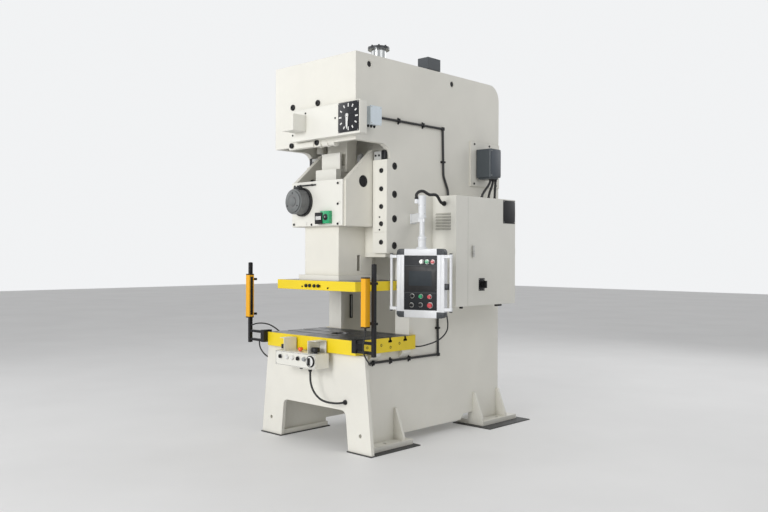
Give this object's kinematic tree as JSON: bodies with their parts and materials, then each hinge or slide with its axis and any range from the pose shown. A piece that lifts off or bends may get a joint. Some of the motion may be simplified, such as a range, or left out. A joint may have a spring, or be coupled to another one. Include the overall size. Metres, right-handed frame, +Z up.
{
  "type": "mechanical stamping press",
  "caption": "Tall gap-frame crank press with guided slide, T-slotted bolster, side cabinet, swivelling control panel, two-hand control box and light curtains.",
  "frame": {"origin": "on the floor at the centre of the rectangle of the four anchor bolt holes", "axes": "+X to the operator's right, +Y from the front to the rear, +Z up"},
  "size_m": [1.8226, 2.349, 3.43],
  "materials": {
    "cream": "satin",
    "yellow": "gloss",
    "cast": "machined",
    "steel": "ground",
    "black_steel": "satin",
    "bronze": "machined",
    "motor_grey": "satin",
    "slate": "satin",
    "pale_blue": "satin",
    "chrome": "polished",
    "aluminium": "anodised",
    "black_rubber": "matt",
    "black_plastic": "matt",
    "green_plastic": "gloss",
    "red_plastic": "gloss",
    "orange_plastic": "gloss",
    "white_plastic": "gloss"
  },
  "bodies": {
    "frame": {"side_plate_left": "cream", "side_plate_right": "cream", "frame_plates": "cream", "rear_cover": "cream", "apron": "cream", "feet": "cream", "foot_pads": "black_rubber", "gibs": "cream", "frame_bolts": "black_steel", "bolster": "yellow", "crank_bushes": "bronze", "motor": "motor_grey", "drive_belts": "black_rubber", "brake_housing": "cast", "balance_cylinders": "motor_grey", "silencer": "chrome", "dial_box": "cream", "head_junction_box": "pale_blue", "conduits": "black_rubber", "terminal_box": "slate", "cabinet": "cream", "control_gear": "slate", "pendant_arm": "aluminium", "arm_hose": "black_rubber", "control_box": "cream", "control_hose": "black_rubber", "light_posts": "black_steel", "light_curtains": "yellow", "cables": "black_rubber"},
    "slide": {"slide_body": "cream", "slide_cover": "cream", "face_plate": "yellow", "screw_guard": "cream", "ball_seat": "bronze", "adjusting_motor": "motor_grey", "height_counter": "black_plastic", "balance_rods": "chrome"},
    "screw": {"ball_screw": "steel"},
    "rod": {"connecting_rod": "cream", "rod_cap": "cream", "crank_pin": "steel"},
    "crank": {"crankshaft": "steel", "main_gear": "cast"},
    "pinion": {"pinion_shaft": "steel"},
    "wheel": {"flywheel": "cast"},
    "pulley": {"motor_pulley": "cast"},
    "pointer": {"dial_pointer": "white_plastic"},
    "door": {"cabinet_door": "cream"},
    "handle": {"door_handle": "steel"},
    "isolator": {"main_switch": "black_plastic"},
    "pendant": {"pendant_box": "aluminium"},
    "palm_left": {"palm_button_left": "black_plastic"},
    "palm_right": {"palm_button_right": "black_plastic"},
    "box_estop": {"control_estop": "orange_plastic"},
    "box_rotary": {"control_rotary": "black_plastic"},
    "start": {"pendant_start": "green_plastic"},
    "stop": {"pendant_stop": "red_plastic"},
    "panel_estop": {"pendant_estop": "red_plastic"},
    "selector": {"pendant_selector": "black_plastic"},
    "reset": {"pendant_reset": "white_plastic"}
  },
  "joints": [
    {"name": "crank_turn", "type": "hinge", "parent": "frame", "child": "crank", "pos_m": [0, 0, 2.74], "axis": [0, 1, 0], "range_deg": [0, 180]},
    {"name": "slide_stroke", "type": "slide", "parent": "frame", "child": "slide", "axis": [0, 0, 1], "range_m": [0, 0.2]},
    {"name": "pinion_turn", "type": "hinge", "parent": "frame", "child": "pinion", "pos_m": [0, 0, 2.4325], "axis": [0, 1, 0], "range_deg": [-720, 0]},
    {"name": "pointer_turn", "type": "hinge", "parent": "frame", "child": "pointer", "pos_m": [0.491, 0, 2.675], "axis": [0, 1, 0], "range_deg": [0, 180]},
    {"name": "flywheel_turn", "type": "hinge", "parent": "frame", "child": "wheel", "pos_m": [0, 0, 2.4325], "axis": [0, 1, 0], "continuous": true},
    {"name": "motor_turn", "type": "hinge", "parent": "frame", "child": "pulley", "pos_m": [0, 0, 3.21], "axis": [0, 1, 0], "continuous": true},
    {"name": "rod_swing", "type": "hinge", "parent": "slide", "child": "screw", "pos_m": [0, -0.725, 1.8], "axis": [0, 1, 0], "range_deg": [-8, 8]},
    {"name": "height_adjust", "type": "slide", "parent": "screw", "child": "rod", "axis": [0, 0, 1], "range_m": [-0.11, 0]},
    {"name": "pendant_swivel", "type": "hinge", "parent": "frame", "child": "pendant", "pos_m": [0.76, -0.542, 2], "axis": [0, 0, 1], "range_deg": [0, 90]},
    {"name": "door_swing", "type": "hinge", "parent": "frame", "child": "door", "pos_m": [0.756, 0.783, 1.615], "axis": [0, 0, 1], "range_deg": [0, 110]},
    {"name": "handle_turn", "type": "hinge", "parent": "door", "child": "handle", "pos_m": [0.766, 0.123, 1.612], "axis": [1, 0, 0], "range_deg": [0, 90]},
    {"name": "isolator_turn", "type": "hinge", "parent": "door", "child": "isolator", "pos_m": [0.766, 0.271, 1.322], "axis": [1, 0, 0], "range_deg": [0, 90]},
    {"name": "palm_press_left", "type": "slide", "parent": "frame", "child": "palm_left", "axis": [0, 0, -1], "range_m": [0, 0.01], "stiffness_N_per_m": 900, "springref_m": -0.004},
    {"name": "palm_press_right", "type": "slide", "parent": "frame", "child": "palm_right", "axis": [0, 0, -1], "range_m": [0, 0.01], "stiffness_N_per_m": 900, "springref_m": -0.004},
    {"name": "box_estop_press", "type": "slide", "parent": "frame", "child": "box_estop", "axis": [0, 0, -1], "range_m": [0, 0.008]},
    {"name": "box_rotary_turn", "type": "hinge", "parent": "frame", "child": "box_rotary", "pos_m": [0.196, -1.245, 0.722], "axis": [0, -1, 0], "range_deg": [0, 90]},
    {"name": "start_press", "type": "slide", "parent": "pendant", "child": "start", "axis": [-0.309, 0.9511, 0], "range_m": [0, 0.005], "stiffness_N_per_m": 600, "springref_m": -0.002},
    {"name": "stop_press", "type": "slide", "parent": "pendant", "child": "stop", "axis": [-0.309, 0.9511, 0], "range_m": [0, 0.005], "stiffness_N_per_m": 600, "springref_m": -0.002},
    {"name": "reset_press", "type": "slide", "parent": "pendant", "child": "reset", "axis": [-0.309, 0.9511, 0], "range_m": [0, 0.005], "stiffness_N_per_m": 600, "springref_m": -0.002},
    {"name": "panel_estop_press", "type": "slide", "parent": "pendant", "child": "panel_estop", "axis": [-0.309, 0.9511, 0], "range_m": [0, 0.005]},
    {"name": "selector_turn", "type": "hinge", "parent": "pendant", "child": "selector", "pos_m": [0.70393, -0.59597, 1.246], "axis": [0.309, -0.9511, 0], "range_deg": [0, 60]}
  ],
  "couplings": [
    {"joint": "slide_stroke", "follows": "crank_turn", "m_per_rad": 0.063662},
    {"joint": "pinion_turn", "follows": "crank_turn", "ratio": -4},
    {"joint": "pointer_turn", "follows": "crank_turn", "ratio": 1},
    {"joint": "motor_turn", "follows": "flywheel_turn", "ratio": 4.2222}
  ]
}
